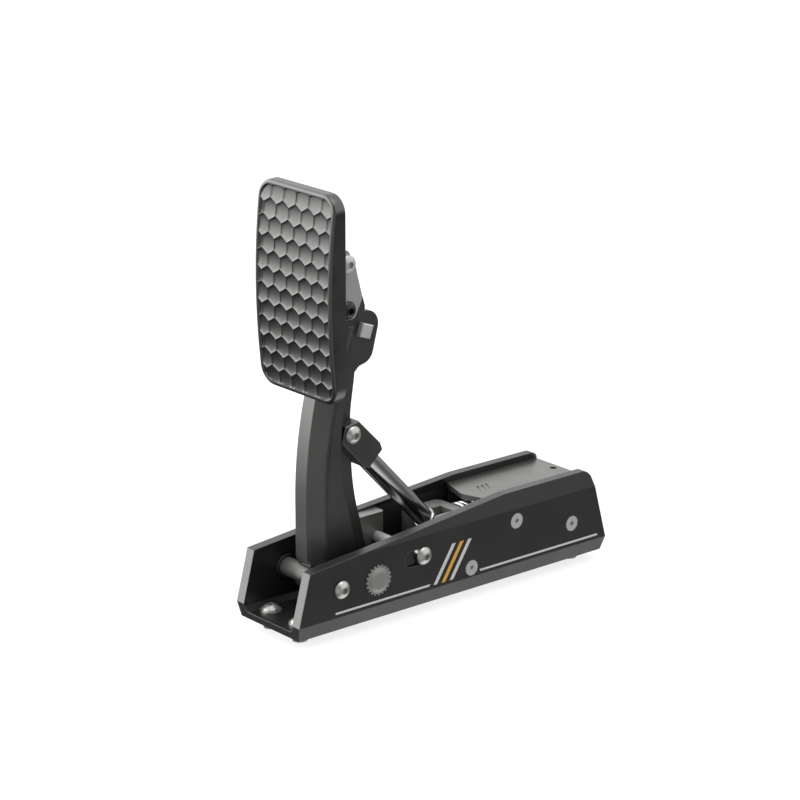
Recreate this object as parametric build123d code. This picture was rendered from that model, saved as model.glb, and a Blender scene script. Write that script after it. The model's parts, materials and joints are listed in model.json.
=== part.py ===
from build123d import *
import os
from math import atan2, ceil, cos, degrees, hypot, pi, sin, sqrt

# A sim racing brake pedal. Millimetres, +Z up, +X away from the driver, -Y the side with the dial.
# The origin lies under the middle of the base, on the plane where the floor nuts stand.

# Base channel: a folded tray, open at the top and at both ends
base_length = 218.2
base_width = 53.4
base_height = 48.9
wall_thick = 6.0
floor_thick = 4.1
lower_bend_height = 8.1
lower_bend_inset = 2.5
upper_bend_height = 39.4
inner_bend_height = 41.8
flange_inset = 3.0
inner_corner = 2.5
front_toe_run = 1.2
front_rake_run = 7.5
front_top_height = 36.5
ramp_end = 145.0
rear_toe_run = 1.7
rear_rake_run = 11.2
rear_corner_radius = 6.0
edge_break = 0.6

# Common fits and fasteners
fit_gap = 0.05
running_gap = 0.1
side_gap = 0.3
cut_overrun = 1.0
m5_radius = 2.5
m4_radius = 2.0
button_radius = 4.9
button_height = 2.75
button_lip = 0.5
button_flat_radius = 1.9
m5_key_flats = 3.0
m5_key_depth = 1.8
m4_button_radius = 3.8
m4_button_height = 2.2
m4_key_flats = 2.5
m4_key_depth = 1.3
m5_nut_flats = 8.0
m5_nut_height = 4.0
nut_corner_break = 0.5
washer_radius = 5.0
washer_thick = 1.0
sunk_head_radius = 4.25
sunk_lip = 0.25
thread_relief = 0.6

# Floor bolts and rig holes
floor_bolt_front = 11.5
floor_bolt_rear = 204.0
floor_bolt_side = 12.2
floor_flange_radius = 5.8
floor_flange_thick = 0.9
rig_hole_radius = 3.3
rig_hole_front = 48.0
rig_hole_spacing = 100.0

# Main pivot
pivot_x = 28.4
pivot_height = 23.0
pivot_tube_radius = 5.0
pivot_shaft_radius = 3.4
pivot_tap_depth = 10.5
pivot_bolt_length = 15.0
thrust_ring_radius = 6.6
thrust_ring_thick = 1.2

# Toothed dial on the near wall
dial_x = 52.7
dial_height = 22.5
dial_root_radius = 7.5
dial_tip_radius = 8.4
dial_teeth = 20
dial_thick = 1.4
dial_recess = 0.7
dial_stem_radius = 3.5
dial_boss_radius = 6.9
dial_boss_height = 1.0
dial_face_radius = 4.7

# Rest stop: slot, bar and far carrier
slot_front = 71.5
slot_length = 18.0
slot_width = 9.0
stop_x = 84.4
stop_height = 28.4
stop_bar_radius = 3.15
stop_bar_socket = 5.0
stop_bolt_length = 14.0
stop_tap_depth = 9.5
slot_plug_recess = 1.2
slot_plug_dome = 1.0
carrier_front = 62.0
carrier_length = 28.0
carrier_thick = 8.1
carrier_drop = 22.0
carrier_screw_setback = 6.0
carrier_corner = 1.5

# Side screws, as distances from the front end and heights over the underside
guide_screw_x = 118.4
guide_screw_height = 13.3
plate_screw_x = 150.9
plate_screw_height = 32.6
block_screw_x = 192.2
block_screw_height = 21.5
side_screw_bite = 6.0

# Top plate
plate_front = 134.2
plate_side_front = 140.6
plate_rear = 207.0
plate_top_height = 44.9
plate_thick = 3.0
plate_tab_thick = 3.0
plate_tab_length = 17.0
plate_tab_drop = 15.5
plate_hole_x = 202.5
plate_hole_radius = 2.0
mark_x = 142.5
mark_length = 9.0
mark_width = 1.3
mark_pitch = 3.2
mark_depth = 0.5
mark_count = 3
mark_angle = 28.0

# Rear block, load cell and cable socket
block_front = 184.0
block_rear = 198.0
block_spigot_radius = 7.2
block_spigot_length = 5.0
cell_thick = 8.0
cell_radius = 12.8
cell_groove_width = 2.4
cell_groove_depth = 1.0
cell_edge = 0.8
socket_width = 12.0
socket_height = 9.0
socket_depth = 7.0
socket_floor_height = 8.6
socket_wall = 1.1
socket_proud = 1.2

# Slider: fork, shaft and key
slide_height = 28.7
fork_front = 104.0
fork_length = 26.0
fork_width = 30.0
fork_bottom_height = 18.3
fork_top_height = 39.1
fork_slot_width = 10.6
fork_web_thick = 6.4
fork_corner = 3.0
fork_pin_x = 115.2
fork_pin_radius = 3.0
shaft_radius = 5.0
shaft_end_x = 192.0
shaft_chamfer = 1.0
fork_mouth_run = 7.3
fork_mouth_flare = 5.0
guide_front = 110.0
guide_length = 17.0
guide_rib_height = 2.2
guide_rib_setback = 5.0
seat_radius = 10.6
seat_thick = 0.8

# Coil spring on the slider's shaft
spring_outer_radius = 11.4
spring_wire = 2.4
spring_active_turns = 6.5
spring_end_turns = 1.0
spring_end_gap = 0.5
spring_seat_gap = 0.2

# Arm shell: heights over the pivot, depths from the pivot towards the rear
shell_width = 23.2
shell_front_flat = 9.2
shell_corner_depth = 8.0
shell_wall = 3.0
shell_soft_radius = 5.0
shell_front_setback = 5.8
shell_toe_height = 11.1
shell_height = 135.0
shell_bend_height = 42.0
shell_bend_radius = 240.0
shell_toe_run = 2.1
shell_toe_slope_share = 0.667
shell_rear_reach = 22.4
shell_foot_height = 3.0
shell_rear_shares = [(1.0, 0.035), (0.905, 0.15), (0.715, 0.29), (0.562, 0.43), (0.549, 0.55), (0.645, 0.7), (0.95, 1.0)]

# Web plate: the rib, the lug, the nose between the cheeks and the heel
web_thick = 8.0
web_reach = 43.6
web_height = 174.0
web_eye_radius = 7.4
web_edge_break = 0.8
web_rear_shares = [(0.702, 0.152), (0.631, 0.222), (0.582, 0.31), (0.564, 0.41), (0.566, 0.5), (0.6, 0.56), (0.632, 0.618)]
lug_shares = [(0.7, 0.634), (0.89, 0.645), (1.055, 0.8), (0.785, 0.802)]
lug_radii = [3.0, 8.0, 8.0, 0.6]
nose_shares = [(0.8, 0.816), (0.765, 0.845), (0.575, 0.955), (0.5, 1.0)]
nose_front_depth = 13.5
nose_front_round = 3.0
heel_knee_depth = 34.5
heel_knee_height = 9.5
heel_tip_run = 5.0
heel_tip_round = 2.0
heel_throat_radius = 14.0
heel_bottom_drop = 7.0
heel_seat_lead = 2.0
bumper_length = 9.0
bumper_width = 10.0
bumper_thick = 2.4
bumper_corner = 1.0

# Small pieces on the arm
peg_size = 7.4
peg_proud = 3.0
peg_depth = 33.7
peg_height = 129.3
peg_angle = 19.4
peg_chamfer = 0.5
pin_depth = 5.6
pin_height = 24.1
pin_radius = 2.6
pin_proud = 5.0

# Pad
pad_width = 63.0
pad_height = 110.0
pad_bottom_height = 101.1
pad_thick = 10.5
pad_crown = 3.8
pad_corner = 10.0
pad_front_round = 2.0
pad_back_round = 1.0
pad_back_depth = 0.4
pad_rim = 2.3
scoops_across = 5.67
scoop_sphere_share = 0.874
scoop_depth_share = 0.2235
scoop_overrun = 0.5
scoop_seam_angle = 17.0
scoop_least_bite = 1.0
pad_screw_depth = 6.0

# Pad bracket
bracket_thick = 3.0
bracket_bottom_height = 136.6
bracket_height = 41.0
bracket_width = 34.0
cheek_reach = 30.7
cheek_shares = [(0.83, 0.03), (1.0, 0.28), (0.837, 0.75), (0.69, 0.93)]
cheek_corner = 3.0
bracket_bolt_depth = 20.9
bracket_bolt_low = 6.2
bracket_bolt_spacing = 24.5
pad_screw_side = 12.0
pad_screw_rise = 6.5
flange_corner = 4.0

# Pushrod: clevis, polished rod and rod end
clevis_depth = 20.6
clevis_height = 76.4
clevis_width = 22.4
clevis_slot_gap = 0.3
clevis_slot_depth = 15.5
clevis_length = 22.6
clevis_nose = 7.1
clevis_shoulder_run = 2.4
clevis_shoulder = 7.6
clevis_flank_run = 18.5
clevis_flank = 8.0
clevis_end_half = 6.4
clevis_edge_break = 0.5
rod_radius = 5.45
rod_spigot_radius = 3.0
rod_spigot_length = 6.0
collar_radius = 6.2
collar_thick = 3.0
collar_setback = 9.5
eye_radius = 6.9
eye_thick = 10.2
eye_pin_gap = 0.35
eye_neck_radius = 4.0

# Places worked out from the sizes above
underside = washer_thick + m5_nut_height
front_end = -base_length / 2
inner_half = base_width / 2 - wall_thick
outer_half = base_width / 2
pivot = (front_end + pivot_x, underside + pivot_height)
fork_pin = (front_end + fork_pin_x, underside + slide_height)
clevis_pin = (pivot[0] + clevis_depth, pivot[1] + clevis_height)
rod_run = fork_pin[0] - clevis_pin[0]
rod_fall = clevis_pin[1] - fork_pin[1]
rod_length = hypot(rod_run, rod_fall)
rod_slope = degrees(atan2(rod_fall, rod_run))
clevis_slot = web_thick + 2 * clevis_slot_gap
spring_front = front_end + fork_front + fork_length + seat_thick
spring_rear = front_end + block_front - cell_thick
scoop_pitch = (pad_width - 2 * pad_rim) / scoops_across
scoop_sphere_radius = scoop_pitch * scoop_sphere_share
scoop_depth = scoop_pitch * scoop_depth_share
scoop_radius = sqrt(scoop_sphere_radius ** 2 - (scoop_sphere_radius - scoop_depth) ** 2)


def base_at(distance, height):
    """Side-view point from a distance behind the front end and a height over the underside."""
    return (front_end + distance, underside + height)


def arm_at(depth, height):
    """Side-view point from a depth behind the pivot and a height over it."""
    return (pivot[0] + depth, pivot[1] + height)


def side_plate(outline, width, y_middle=0):
    """A plate from an outline in the XZ plane, extruded to both sides of its middle."""
    face = Plane.XZ.offset(-y_middle) * make_face(outline)
    return extrude(face, amount=width / 2, both=True)


def bar_along_y(radius, y_from, y_to, centre):
    middle = Pos(centre[0], (y_from + y_to) / 2, centre[1])
    return middle * Rot(90, 0, 0) * Cylinder(radius, abs(y_to - y_from))


def bar_along_x(radius, x_from, x_to, height):
    return Pos((x_from + x_to) / 2, 0, height) * Rot(0, 90, 0) * Cylinder(radius, abs(x_to - x_from))


def block(x_from, x_to, y_from, y_to, z_from, z_to):
    centre = Pos((x_from + x_to) / 2, (y_from + y_to) / 2, (z_from + z_to) / 2)
    return centre * Box(x_to - x_from, y_to - y_from, z_to - z_from)


def hex_prism(flats, height):
    """A six-sided prism that stands on its own origin."""
    return extrude(RegularPolygon(flats / 2, 6, major_radius=False), amount=height)


def ring(outer_radius, inner_radius, thick):
    """A flat ring that stands on its own origin."""
    return extrude(Circle(outer_radius) - Circle(inner_radius), amount=thick)


def domed_bolt(head_radius, head_height, shank_radius, length, key_flats, key_depth):
    """A button-head bolt: its seat at the origin, its head up +Z, its shank down."""
    lip = (head_radius, button_lip)
    crown = (key_flats / 2 + button_lip, head_height)
    half = Line((0, 0), (head_radius, 0)) + Line((head_radius, 0), lip)
    half += Line(crown, (0, head_height)) + Line((0, head_height), (0, 0))
    bulge = RadiusArc(lip, crown, -hypot(head_radius, head_height))
    head = revolve(Plane.XZ * make_face(half + bulge), Axis.Z)
    key = Pos(0, 0, head_height - key_depth) * hex_prism(key_flats, head_height)
    shank = Pos(0, 0, -length) * extrude(Circle(shank_radius), amount=length)
    return head + shank - key


def sunk_screw(length):
    """A countersunk M4 screw: its flat head's face at the origin, its shank down."""
    cone_height = sunk_head_radius - m4_radius
    cone_bottom = Pos(0, 0, -sunk_lip - cone_height / 2)
    head = cone_bottom * Cone(m4_radius, sunk_head_radius, cone_height)
    head += Pos(0, 0, -sunk_lip) * extrude(Circle(sunk_head_radius), amount=sunk_lip)
    shank = Pos(0, 0, -length) * extrude(Circle(m4_radius), amount=length - sunk_lip)
    key = Pos(0, 0, -m4_key_depth) * hex_prism(m4_key_flats, m4_key_depth + cut_overrun)
    return head + shank - key


def sunk_seat(length):
    """The countersunk hole that takes that screw with a fit gap all round."""
    cone_height = sunk_head_radius - m4_radius
    seat = Pos(0, 0, -sunk_lip - cone_height / 2) * Cone(
        m4_radius + fit_gap, sunk_head_radius + fit_gap, cone_height)
    mouth = Pos(0, 0, -sunk_lip) * extrude(Circle(sunk_head_radius + fit_gap), amount=sunk_lip + cut_overrun)
    hole = Pos(0, 0, -length) * extrude(Circle(m4_radius + fit_gap), amount=length)
    return seat + mouth + hole


def hex_nut(flats, bore_radius, height):
    """A nut that stands on its origin, with its corners turned off at both faces."""
    corner_radius = flats / sqrt(3)
    turned = Pos(0, 0, height / 2) * Cylinder(corner_radius, height)
    turned = chamfer(turned.edges(), nut_corner_break)
    return (hex_prism(flats, height) & turned) - Pos(0, 0, height / 2) * Cylinder(bore_radius, height)


def facing(side):
    """Turns a +Z piece to point out of the near (-1) or far (+1) wall."""
    return Rot(90 if side < 0 else -90, 0, 0)


def on_wall(piece, side, place, inset=0):
    """Puts a +Z piece on a wall's outer face, at a side-view place."""
    return Pos(place[0], side * (outer_half - inset), place[1]) * facing(side) * piece


side_screw_places = {
    "guide": base_at(guide_screw_x, guide_screw_height),
    "plate": base_at(plate_screw_x, plate_screw_height),
    "block": base_at(block_screw_x, block_screw_height),
}
floor_bolt_places = {
    "front_near": (front_end + floor_bolt_front, -floor_bolt_side),
    "front_far": (front_end + floor_bolt_front, floor_bolt_side),
    "rear_near": (front_end + floor_bolt_rear, -floor_bolt_side),
    "rear_far": (front_end + floor_bolt_rear, floor_bolt_side),
}
dial_place = base_at(dial_x, dial_height)
stop_place = base_at(stop_x, stop_height)
slot_middle = base_at(slot_front + slot_length / 2, stop_height)
plug_place = base_at(slot_front + slot_width / 2, stop_height)
carrier_screw_place = base_at(carrier_front + carrier_screw_setback, stop_height)
side_screw_length = wall_thick + side_screw_bite


def slot_cutter(length, width, depth):
    return extrude(SlotOverall(length, width), amount=depth)


def base_channel():
    """The tray: its folded section along X, cut by the raked side outline."""
    lean_slope = flange_inset / (base_height - upper_bend_height)
    inner_top = inner_half - (base_height - inner_bend_height) * lean_slope
    right = [
        (outer_half - lower_bend_inset, underside),
        (outer_half, underside + lower_bend_height),
        (outer_half, underside + upper_bend_height),
        (outer_half - flange_inset, underside + base_height),
        (inner_top, underside + base_height),
        (inner_half, underside + inner_bend_height),
        (inner_half, underside + floor_thick + inner_corner),
        (inner_half - inner_corner, underside + floor_thick),
    ]
    left = [(-y, z) for y, z in reversed(right)]
    section = Plane.YZ.offset(front_end) * make_face(Polyline(*right, *left, close=True))
    tray = extrude(section, amount=base_length)
    side = FilletPolyline(
        base_at(front_toe_run, 0),
        base_at(0, lower_bend_height),
        base_at(front_rake_run, front_top_height),
        base_at(ramp_end, base_height),
        base_at(base_length - rear_rake_run, base_height),
        base_at(base_length, lower_bend_height),
        base_at(base_length - rear_toe_run, 0),
        radius=[edge_break, edge_break, edge_break, edge_break, rear_corner_radius, edge_break, edge_break],
        close=True)
    tray &= side_plate(side, base_width + cut_overrun)
    for side_sign in (-1, 1):
        bolt_hole = Pos(0, 0, -wall_thick - cut_overrun) * extrude(
            Circle(m5_radius + fit_gap), amount=wall_thick + 2 * cut_overrun)
        tray -= on_wall(bolt_hole, side_sign, pivot)
        for place in side_screw_places.values():
            tray -= on_wall(sunk_seat(wall_thick + cut_overrun), side_sign, place)
    dial_seat = Pos(0, 0, -dial_recess) * extrude(
        Circle(dial_tip_radius + running_gap), amount=dial_recess + cut_overrun)
    dial_seat += Pos(0, 0, -wall_thick - cut_overrun) * extrude(
        Circle(dial_stem_radius + fit_gap), amount=wall_thick + cut_overrun)
    tray -= on_wall(dial_seat, -1, dial_place)
    slot = Pos(0, 0, -wall_thick - cut_overrun) * slot_cutter(
        slot_length, slot_width, wall_thick + 2 * cut_overrun)
    tray -= on_wall(slot, -1, slot_middle)
    for place in (stop_place, carrier_screw_place):
        tray -= on_wall(sunk_seat(wall_thick + cut_overrun), 1, place)
    for x, y in floor_bolt_places.values():
        tray -= Pos(x, y, underside + floor_thick / 2) * Cylinder(m5_radius + fit_gap, 2 * floor_thick)
    for count in (0, 1):
        x = front_end + rig_hole_front + count * rig_hole_spacing
        tray -= Pos(x, 0, underside + floor_thick / 2) * Cylinder(rig_hole_radius, 2 * floor_thick)
    return tray


def top_plate():
    """The cover over the spring: bevelled to the flanges, with two tabs for the side screws."""
    lean_slope = flange_inset / (base_height - upper_bend_height)
    top = underside + plate_top_height
    bottom = top - plate_thick
    half_top = inner_half - (plate_top_height - inner_bend_height) * lean_slope - fit_gap
    half_bottom = min(inner_half, half_top + plate_thick * lean_slope) - fit_gap
    section = [(half_bottom, bottom), (half_top, top), (-half_top, top), (-half_bottom, bottom)]
    face = Plane.YZ.offset(front_end + plate_front) * make_face(Polyline(*section, close=True))
    plate = extrude(face, amount=plate_rear - plate_front)
    wedge_run = plate_side_front - plate_front
    for side in (-1, 1):
        wedge = Polyline(
            (front_end + plate_front - cut_overrun, 0),
            (front_end + plate_front, 0),
            (front_end + plate_side_front, side * half_bottom),
            (front_end + plate_side_front, side * (half_bottom + wedge_run)),
            (front_end + plate_front - cut_overrun, side * (half_bottom + wedge_run)),
            close=True)
        plate -= Pos(0, 0, bottom - cut_overrun) * extrude(
            make_face(wedge), amount=plate_thick + 2 * cut_overrun)
        tab_front = front_end + plate_screw_x - plate_tab_length / 2
        outer = side * (half_bottom - fit_gap)
        inner = side * (half_bottom - fit_gap - plate_tab_thick)
        tab = block(tab_front, tab_front + plate_tab_length, min(outer, inner), max(outer, inner),
                    bottom - plate_tab_drop, bottom)
        plate += tab
        plate -= on_wall(sunk_seat(wall_thick + plate_tab_thick + cut_overrun), side, side_screw_places["plate"])
    plate -= Pos(front_end + plate_hole_x, 0, top - plate_thick / 2) * Cylinder(plate_hole_radius, 2 * plate_thick)
    for count in range(mark_count):
        groove = extrude(SlotOverall(mark_length, mark_width), amount=mark_depth + cut_overrun)
        centre = front_end + mark_x + count * mark_pitch + mark_length / 2
        plate -= Pos(centre, 0, top - mark_depth) * Rot(0, 0, 90 - mark_angle) * groove
    return plate


def rear_block():
    """The block between the walls that carries the load cell and guides the shaft."""
    wide = inner_half - fit_gap
    top = underside + plate_top_height - plate_thick - fit_gap
    body = block(front_end + block_front, front_end + block_rear, -wide, wide, underside + floor_thick, top)
    low_edges = body.edges().filter_by(Axis.X).group_by(Axis.Z)[0]
    body = chamfer(low_edges, inner_corner + fit_gap)
    centre = underside + slide_height
    spigot_front = front_end + block_front - block_spigot_length
    body += bar_along_x(block_spigot_radius, spigot_front, front_end + block_front, centre)
    body -= bar_along_x(shaft_radius + running_gap, spigot_front - cut_overrun,
                        front_end + block_rear + cut_overrun, centre)
    for side in (-1, 1):
        body -= on_wall(sunk_seat(side_screw_length + thread_relief), side, side_screw_places["block"])
    pocket_bottom = underside + socket_floor_height - fit_gap
    pocket_side = socket_width / 2 + fit_gap
    body -= block(front_end + block_rear - socket_depth, front_end + block_rear + cut_overrun,
                  -pocket_side, pocket_side, pocket_bottom, pocket_bottom + socket_height + 2 * fit_gap)
    return body


def cable_socket():
    """The open socket for the lead, set into the rear face of the rear block."""
    rear = front_end + block_rear + socket_proud
    bottom = underside + socket_floor_height
    shell = block(front_end + block_rear - socket_depth + fit_gap, rear,
                  -socket_width / 2, socket_width / 2, bottom, bottom + socket_height)
    mouth = block(front_end + block_rear - socket_depth + fit_gap + socket_wall, rear + cut_overrun,
                  socket_wall - socket_width / 2, socket_width / 2 - socket_wall,
                  bottom + socket_wall, bottom + socket_height - socket_wall)
    return shell - mouth


def load_cell():
    """The sensing ring, with a waist groove, over the rear block's spigot."""
    centre = underside + slide_height
    rear = front_end + block_front - fit_gap
    front = front_end + block_front - cell_thick
    body = bar_along_x(cell_radius, front, rear, centre)
    body = chamfer(body.edges(), cell_edge)
    middle = (front + rear) / 2
    waist = bar_along_x(cell_radius + cut_overrun, middle - cell_groove_width / 2,
                        middle + cell_groove_width / 2, centre)
    waist -= bar_along_x(cell_radius - cell_groove_depth, front, rear, centre)
    body -= waist
    body -= bar_along_x(block_spigot_radius + fit_gap, rear - block_spigot_length - running_gap,
                        rear + cut_overrun, centre)
    body -= bar_along_x(shaft_radius + running_gap, front - cut_overrun, rear, centre)
    return body


def guide_block():
    """The cross block under the fork, with a rib that runs in the fork's slot."""
    wide = inner_half - fit_gap
    top = underside + fork_bottom_height - side_gap
    front = front_end + guide_front
    body = block(front, front + guide_length, -wide, wide, underside + floor_thick, top)
    low_edges = body.edges().filter_by(Axis.X).group_by(Axis.Z)[0]
    body = chamfer(low_edges, inner_corner + fit_gap)
    rib_half = fork_slot_width / 2 - side_gap
    body += block(front, front + guide_length - guide_rib_setback, -rib_half, rib_half,
                  top, top + guide_rib_height)
    for side in (-1, 1):
        body -= on_wall(sunk_seat(side_screw_length + thread_relief), side, side_screw_places["guide"])
    return body


def stop_carrier():
    """The block inside the far wall that holds the stop bar's far end."""
    outer = inner_half - fit_gap
    inner = inner_half - carrier_thick
    top = underside + inner_bend_height
    front = front_end + carrier_front
    body = block(front, front + carrier_length, inner, outer, top - carrier_drop, top)
    free_edges = body.edges().filter_by(Axis.Z).group_by(Axis.Y)[0]
    body = chamfer(free_edges, carrier_corner)
    body -= bar_along_y(stop_bar_radius + fit_gap, inner - cut_overrun, inner + stop_bar_socket, stop_place)
    for place in (stop_place, carrier_screw_place):
        body -= on_wall(sunk_seat(wall_thick + carrier_thick + cut_overrun), 1, place)
    return body


def stop_bar():
    near = -inner_half + fit_gap
    far = inner_half - carrier_thick + stop_bar_socket - fit_gap
    body = bar_along_y(stop_bar_radius, near, far, stop_place)
    body -= bar_along_y(m5_radius + fit_gap, near - cut_overrun, near + stop_tap_depth, stop_place)
    return body


def slot_plug():
    """The round plug with a domed face in the slot's front end."""
    outer = -outer_half + slot_plug_recess
    plug = bar_along_y(slot_width / 2 - fit_gap, outer, -inner_half, plug_place)
    return fillet(plug.edges().group_by(Axis.Y)[0], slot_plug_dome)


def toothed_dial():
    """A dial with square teeth round a bevelled boss, recessed into the near wall on a stem."""
    body = extrude(Circle(dial_root_radius), amount=dial_thick)
    tooth_width = pi * dial_root_radius / dial_teeth
    tooth_height = dial_tip_radius - dial_root_radius
    tooth = extrude(Rectangle(2 * tooth_height, tooth_width), amount=dial_thick)
    for count in range(dial_teeth):
        body += Rot(0, 0, 360 * count / dial_teeth) * Pos(dial_root_radius, 0, 0) * tooth
    boss_middle = Pos(0, 0, dial_thick + dial_boss_height / 2)
    body += boss_middle * Cone(dial_boss_radius, dial_face_radius, dial_boss_height)
    stem_length = wall_thick - dial_recess
    body += Pos(0, 0, -stem_length) * extrude(Circle(dial_stem_radius), amount=stem_length)
    return on_wall(body, -1, dial_place, dial_recess - fit_gap)


def thrust_ring(side):
    outer = side * inner_half
    piece = bar_along_y(thrust_ring_radius, outer, outer - side * thrust_ring_thick, pivot)
    return piece - bar_along_y(pivot_shaft_radius + fit_gap, outer + side * cut_overrun,
                               outer - side * (thrust_ring_thick + cut_overrun), pivot)


def pivot_shaft():
    """The fixed shaft between the walls, tapped at both ends for the pivot bolts."""
    body = bar_along_y(pivot_shaft_radius, -inner_half, inner_half, pivot)
    for side in (-1, 1):
        body -= bar_along_y(m5_radius + fit_gap, side * (inner_half + cut_overrun),
                            side * (inner_half - pivot_tap_depth), pivot)
    return body


def m5_button(length):
    return domed_bolt(button_radius, button_height, m5_radius, length, m5_key_flats, m5_key_depth)


def floor_bolt(place):
    head_seat = underside + floor_thick + floor_flange_thick
    bolt = Pos(place[0], place[1], head_seat) * m5_button(head_seat - fit_gap)
    flange = Pos(place[0], place[1], head_seat - floor_flange_thick) * extrude(
        Circle(floor_flange_radius), amount=floor_flange_thick)
    return bolt + flange


def floor_washer(place):
    return Pos(place[0], place[1], m5_nut_height) * ring(washer_radius, m5_radius + fit_gap, washer_thick)


def floor_nut(place):
    return Pos(place[0], place[1], 0) * hex_nut(m5_nut_flats, m5_radius + fit_gap, m5_nut_height)


def biarc(start, start_tangent, end, end_tangent):
    """Two arcs that join two points with the given tangents."""
    chord = end - start
    tangents = start_tangent + end_tangent
    spread = 2 * (1 - start_tangent.dot(end_tangent))
    along = chord.dot(tangents)
    reach = (sqrt(along * along + spread * chord.dot(chord)) - along) / spread
    middle = (start + start_tangent * reach + end - end_tangent * reach) / 2
    turn_tangent = (end - end_tangent * reach) - (start + start_tangent * reach)
    first = TangentArc(start, middle, tangent=start_tangent)
    second = TangentArc(middle, end, tangent=turn_tangent)
    return [first, second]


def spring_stations():
    """Turn counts and axial places of the wire's centre, a quarter turn apart."""
    length = spring_rear - spring_front - 2 * spring_seat_gap
    end_rise = spring_wire + spring_end_gap
    active_rise = (length - spring_wire - 2 * spring_end_turns * end_rise) / spring_active_turns
    turns = spring_active_turns + 2 * spring_end_turns
    quarters = round(4 * turns)
    stations = []
    for count in range(quarters + 1):
        turn = count / 4
        in_front_end = min(turn, spring_end_turns)
        in_rear_end = max(0, turn - spring_end_turns - spring_active_turns)
        in_active = turn - in_front_end - in_rear_end
        x = spring_front + spring_seat_gap + spring_wire / 2 + in_active * active_rise
        x += (in_front_end + in_rear_end) * end_rise
        stations.append((turn, x))
    return stations


def spring_point(turn, x):
    radius = spring_outer_radius - spring_wire / 2
    angle = 2 * pi * turn
    return Vector(x, radius * cos(angle), underside + slide_height + radius * sin(angle))


def coil_spring():
    """A compression spring with closed ends: one wire on biarcs of a quarter turn."""
    radius = spring_outer_radius - spring_wire / 2
    stations = spring_stations()
    points = [spring_point(turn, x) for turn, x in stations]
    tangents = []
    for count, (turn, x) in enumerate(stations):
        before = stations[max(count - 1, 0)]
        after = stations[min(count + 1, len(stations) - 1)]
        rise = (after[1] - before[1]) / (after[0] - before[0]) / (2 * pi)
        angle = 2 * pi * turn
        tangents.append(Vector(rise, -radius * sin(angle), radius * cos(angle)).normalized())
    edges = [Line(points[0] - tangents[0] * spring_wire, points[0])]
    for count in range(len(points) - 1):
        edges += biarc(points[count], tangents[count], points[count + 1], tangents[count + 1])
    edges.append(Line(points[-1], points[-1] + tangents[-1] * spring_wire))
    path = Wire(edges)
    start = points[0] - tangents[0] * spring_wire
    profile = Plane(origin=start, z_dir=tangents[0]) * Circle(spring_wire / 2)
    print("least gap between the turns, mm:", round(spring_self_gap(stations), 2))
    return sweep(profile, path=path)


def spring_self_gap(stations):
    """Least distance between wire surfaces over half a turn or more apart."""
    samples = [spring_point(turn, x) for turn, x in stations]
    nearest = min(
        (samples[low] - samples[high]).length
        for low in range(len(samples))
        for high in range(low + 3, len(samples)))
    return nearest - spring_wire


def shell_front_point(height, setback):
    """A point on the shell's front line at a height over the pivot, set back towards the rear."""
    rise = max(0, height - shell_bend_height)
    lean = shell_bend_radius - sqrt(shell_bend_radius ** 2 - rise ** 2)
    return arm_at(lean + setback - shell_front_setback, height)


def shell_front_line(low, high, setback):
    """The front line from a low to a high height: straight up to the bend, then one leaning arc."""
    bend = shell_front_point(shell_bend_height, setback)
    middle = shell_front_point((shell_bend_height + high) / 2, setback)
    return Line(shell_front_point(low, setback), bend) + ThreePointArc(bend, middle, shell_front_point(high, setback))


def shell_outline():
    """The arm's side outline: front line, open top, flared rear edge, foot and toe."""
    top = shell_front_point(shell_height, 0)
    rear = [arm_at(reach * shell_rear_reach, rise * shell_height) for reach, rise in shell_rear_shares]
    toe_angle = atan2(shell_toe_slope_share, 1)
    toe_reach = (pivot_tube_radius + fit_gap) / cos(toe_angle)
    toe_depth = shell_toe_run - shell_front_setback
    toe = arm_at(toe_depth, toe_reach - toe_depth * shell_toe_slope_share)
    foot_depth = (toe_reach - shell_foot_height) / shell_toe_slope_share
    foot = arm_at(foot_depth, shell_foot_height)
    rear_foot = arm_at(shell_rear_reach, shell_foot_height)
    outline = shell_front_line(shell_toe_height, shell_height, 0) + Line(top, rear[-1])
    outline += Spline(*reversed(rear))
    outline += Line(rear[0], rear_foot) + Line(rear_foot, foot) + Line(foot, toe)
    return outline + Line(toe, shell_front_point(shell_toe_height, 0))


def shell_bore_outline():
    """The side outline of the shell's inside, past its open top, rear and foot."""
    low = -cut_overrun
    high = shell_height + cut_overrun
    far = arm_at(2 * shell_rear_reach, high)
    front_low = shell_front_point(low, shell_wall)
    outline = shell_front_line(low, high, shell_wall) + Line(shell_front_point(high, shell_wall), far)
    return outline + Line(far, (far[0], front_low[1])) + Line((far[0], front_low[1]), front_low)


def folded(body, width, flat, depth, setback):
    """Takes both front corners off along the front line, deeper along the sides than across."""
    for side in (0, -1):
        wall = body.faces().filter_by(Axis.Y).sort_by(Axis.Y)[side]
        corners = [edge for edge in wall.edges() if follows_front(edge, setback, fit_gap)]
        body = chamfer(corners, depth, length2=(width - flat) / 2, reference=wall)
    return body


def follows_front(edge, setback, tolerance):
    middle = edge @ 0.5
    on_line = shell_front_point(middle.Z - pivot[1], setback)[0]
    return edge.length > shell_front_flat and abs(middle.X - on_line) < tolerance


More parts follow.
